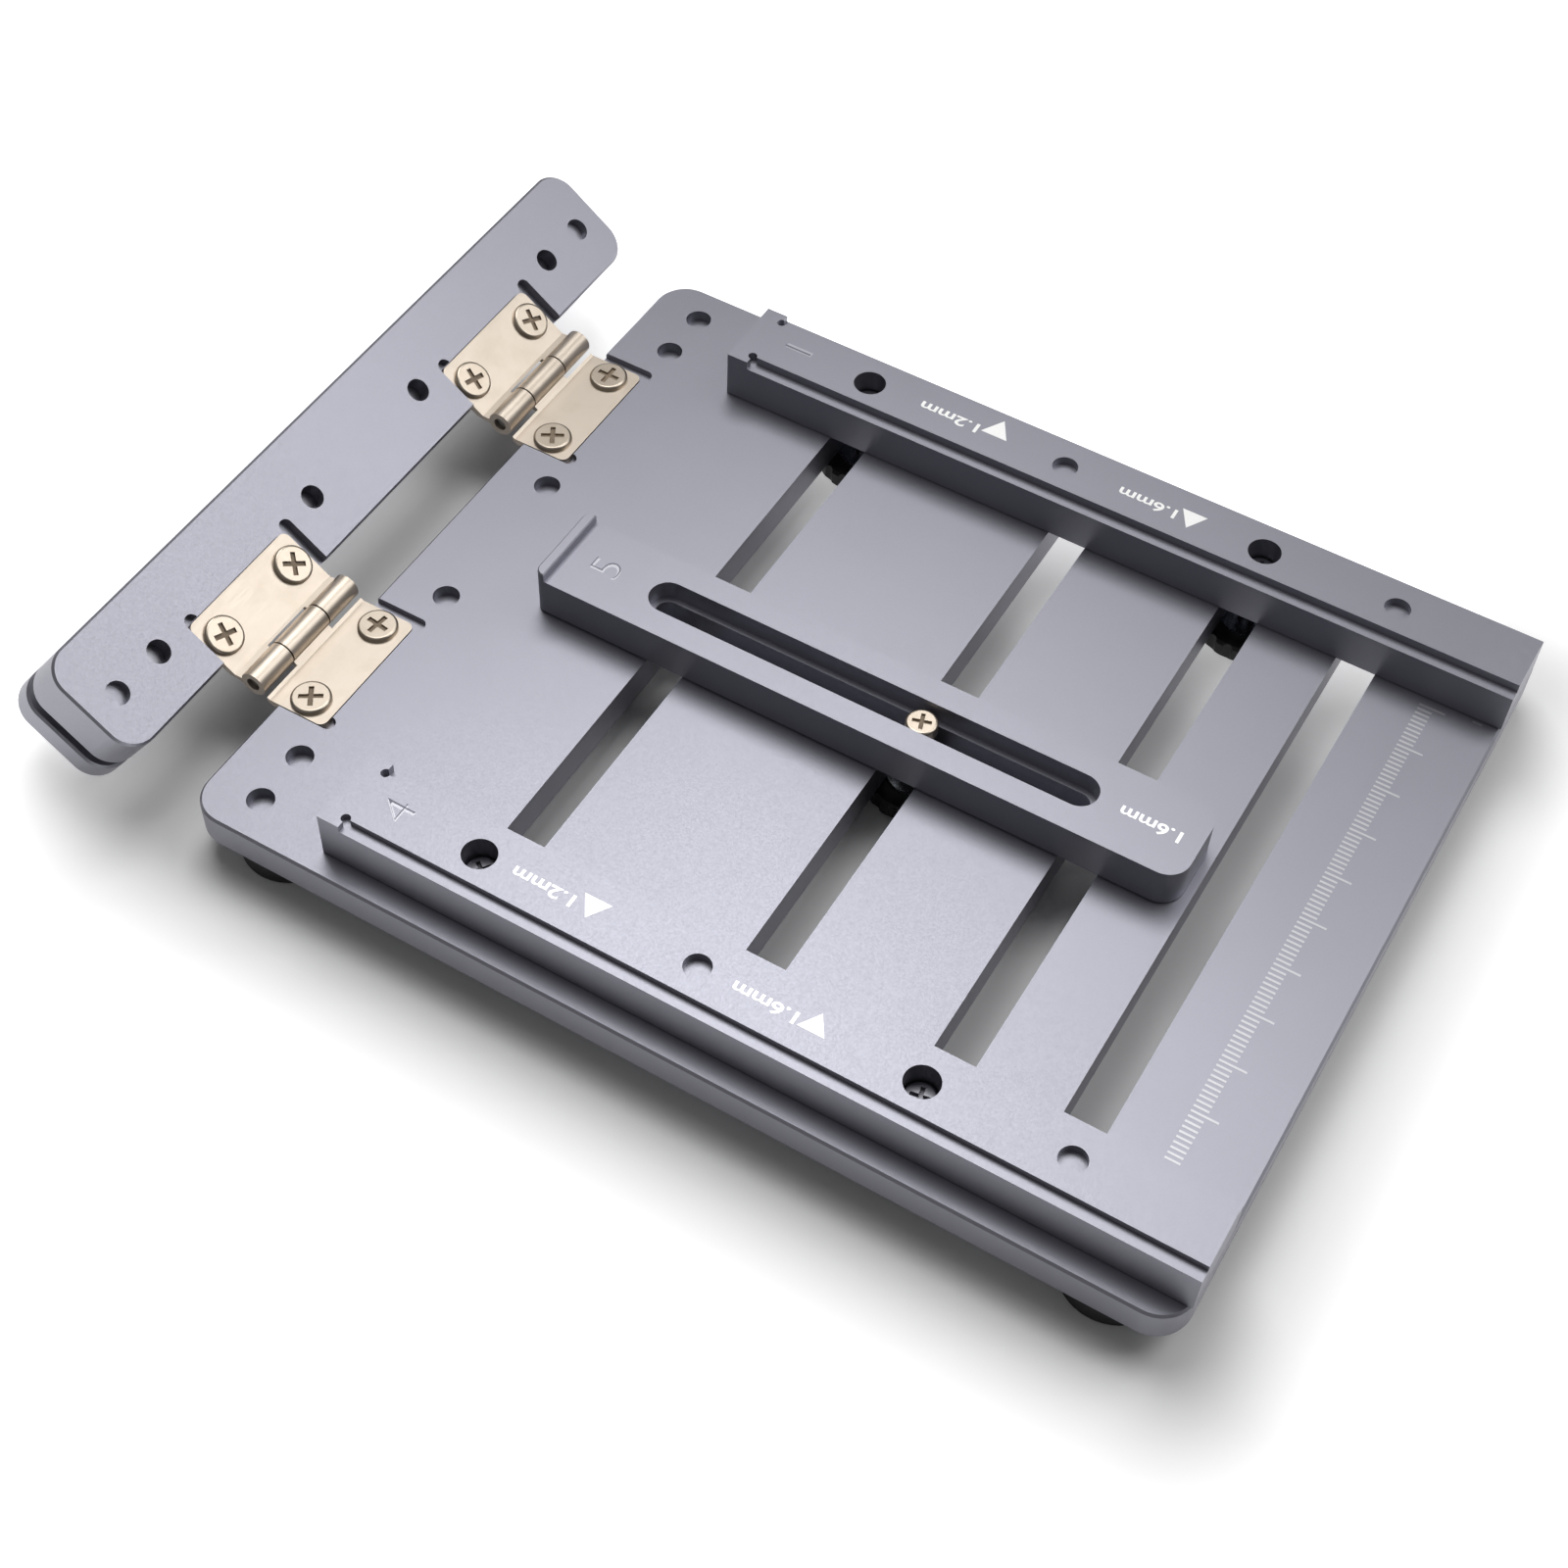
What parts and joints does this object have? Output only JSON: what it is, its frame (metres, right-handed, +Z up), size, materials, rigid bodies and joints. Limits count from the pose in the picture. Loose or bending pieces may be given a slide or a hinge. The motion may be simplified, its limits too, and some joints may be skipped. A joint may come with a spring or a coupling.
{
  "type": "manual stencil printer",
  "caption": "Slotted aluminium base plate with stepped board rails and a slotted centre support, and a hinged bar that clamps a solder stencil foil at the rear edge.",
  "frame": {"origin": "on the table, in the middle of the outline: the feet stand on Z = 0", "axes": "+Z up, +Y from the ruler edge to the hinged clamp, +X to the right seen from the ruler edge"},
  "size_m": [0.1456, 0.2086, 0.0267],
  "materials": {
    "anodised_aluminium": "bead-blasted and anodised blue-grey",
    "nickel_plate": "bright nickel plate on rolled steel strip",
    "nickel_screw": "nickel-plated pan head",
    "black_oxide_screw": "black oxide on steel, pan head",
    "steel_pin": "ground steel",
    "rubber_foot": "moulded matt black",
    "black_thumb_nut": "moulded black, fluted rim",
    "zinc_washer": "bright zinc plate",
    "nylon_bush": "turned black nylon",
    "steel_dowel": "ground hardened steel"
  },
  "bodies": {
    "base": {"base_plate": "anodised_aluminium", "foot_front_left": "rubber_foot", "foot_front_right": "rubber_foot", "foot_rear_left": "rubber_foot", "foot_rear_right": "rubber_foot", "hinge_left_base_leaf": "nickel_plate", "hinge_left_pin": "steel_pin", "hinge_left_base_screw_outer": "nickel_screw", "hinge_left_base_screw_inner": "nickel_screw", "hinge_right_base_leaf": "nickel_plate", "hinge_right_pin": "steel_pin", "hinge_right_base_screw_outer": "nickel_screw", "hinge_right_base_screw_inner": "nickel_screw"},
    "hinge_bar_group": {"hinge_left_bar_leaf": "nickel_plate", "hinge_left_bar_screw_outer": "nickel_screw", "hinge_left_bar_screw_inner": "nickel_screw", "hinge_right_bar_leaf": "nickel_plate", "hinge_right_bar_screw_outer": "nickel_screw", "hinge_right_bar_screw_inner": "nickel_screw", "hinge_bar": "anodised_aluminium"},
    "clamp_bar_group": {"clamp_bar": "anodised_aluminium", "dowel_left": "steel_dowel", "dowel_right": "steel_dowel"},
    "clamp_screw_1_turning": {"clamp_screw_1": "black_oxide_screw"},
    "clamp_screw_2_turning": {"clamp_screw_2": "black_oxide_screw"},
    "clamp_screw_3_turning": {"clamp_screw_3": "black_oxide_screw"},
    "clamp_screw_4_turning": {"clamp_screw_4": "black_oxide_screw"},
    "rail_left_group": {"rail_left": "anodised_aluminium", "rail_left_screw_front": "black_oxide_screw", "rail_left_washer_front": "zinc_washer", "rail_left_screw_rear": "black_oxide_screw", "rail_left_washer_rear": "zinc_washer"},
    "rail_left_nut_front_turning": {"rail_left_nut_front": "black_thumb_nut"},
    "rail_left_nut_rear_turning": {"rail_left_nut_rear": "black_thumb_nut"},
    "rail_right_group": {"rail_right": "anodised_aluminium", "rail_right_screw_front": "black_oxide_screw", "rail_right_washer_front": "zinc_washer", "rail_right_screw_rear": "black_oxide_screw", "rail_right_washer_rear": "zinc_washer"},
    "rail_right_nut_front_turning": {"rail_right_nut_front": "black_thumb_nut"},
    "rail_right_nut_rear_turning": {"rail_right_nut_rear": "black_thumb_nut"},
    "centre_carriage": {"centre_screw": "nickel_screw", "centre_bush": "nylon_bush", "centre_washer": "zinc_washer"},
    "centre_bar_sliding": {"centre_bar": "anodised_aluminium"},
    "centre_nut_turning": {"centre_nut": "black_thumb_nut"}
  },
  "joints": [
    {"name": "clamp_hinge", "type": "hinge", "parent": "base", "child": "hinge_bar_group", "pos_m": [0, 0.0723, 0.0131], "axis": [1, 0, 0], "range_deg": [0, 144]},
    {"name": "clamp_slide", "type": "slide", "parent": "hinge_bar_group", "child": "clamp_bar_group", "axis": [0, -0.5878, 0.809], "range_m": [0, 0.0027]},
    {"name": "clamp_screw_1_turn", "type": "hinge", "parent": "clamp_bar_group", "child": "clamp_screw_1_turning", "pos_m": [-0.0555, 0.08967, 0.01336], "axis": [0, -0.5878, 0.809], "range_deg": [0, 1390]},
    {"name": "clamp_screw_2_turn", "type": "hinge", "parent": "clamp_bar_group", "child": "clamp_screw_2_turning", "pos_m": [-0.0152, 0.08967, 0.01336], "axis": [0, -0.5878, 0.809], "range_deg": [0, 1390]},
    {"name": "clamp_screw_3_turn", "type": "hinge", "parent": "clamp_bar_group", "child": "clamp_screw_3_turning", "pos_m": [0.0152, 0.08967, 0.01336], "axis": [0, -0.5878, 0.809], "range_deg": [0, 1390]},
    {"name": "clamp_screw_4_turn", "type": "hinge", "parent": "clamp_bar_group", "child": "clamp_screw_4_turning", "pos_m": [0.0555, 0.08967, 0.01336], "axis": [0, -0.5878, 0.809], "range_deg": [0, 1390]},
    {"name": "rail_left_slide", "type": "slide", "parent": "base", "child": "rail_left_group", "axis": [1, 0, 0], "range_m": [-0.0023, 0.025]},
    {"name": "rail_left_nut_front_turn", "type": "hinge", "parent": "rail_left_group", "child": "rail_left_nut_front_turning", "pos_m": [-0.06155, -0.05725, 0.0024], "axis": [0, 0, 1], "continuous": true},
    {"name": "rail_left_nut_rear_turn", "type": "hinge", "parent": "rail_left_group", "child": "rail_left_nut_rear_turning", "pos_m": [-0.06155, 0.01865, 0.0024], "axis": [0, 0, 1], "continuous": true},
    {"name": "rail_right_slide", "type": "slide", "parent": "base", "child": "rail_right_group", "axis": [1, 0, 0], "range_m": [-0.025, 0.0038]},
    {"name": "rail_right_nut_front_turn", "type": "hinge", "parent": "rail_right_group", "child": "rail_right_nut_front_turning", "pos_m": [0.05895, -0.05725, 0.0024], "axis": [0, 0, 1], "continuous": true},
    {"name": "rail_right_nut_rear_turn", "type": "hinge", "parent": "rail_right_group", "child": "rail_right_nut_rear_turning", "pos_m": [0.05895, 0.01865, 0.0024], "axis": [0, 0, 1], "continuous": true},
    {"name": "centre_screw_slide", "type": "slide", "parent": "base", "child": "centre_carriage", "axis": [1, 0, 0], "range_m": [-0.018, 0.018]},
    {"name": "centre_bar_slide", "type": "slide", "parent": "centre_carriage", "child": "centre_bar_sliding", "axis": [0, 1, 0], "range_m": [-0.025, 0.0025]},
    {"name": "centre_nut_turn", "type": "hinge", "parent": "centre_carriage", "child": "centre_nut_turning", "pos_m": [-0.0015, -0.02485, 0.0024], "axis": [0, 0, 1], "continuous": true}
  ],
  "couplings": [
    {"joint": "clamp_screw_1_turn", "follows": "clamp_slide", "rad_per_m": 8976},
    {"joint": "clamp_screw_2_turn", "follows": "clamp_slide", "rad_per_m": 8976},
    {"joint": "clamp_screw_3_turn", "follows": "clamp_slide", "rad_per_m": 8976},
    {"joint": "clamp_screw_4_turn", "follows": "clamp_slide", "rad_per_m": 8976}
  ]
}
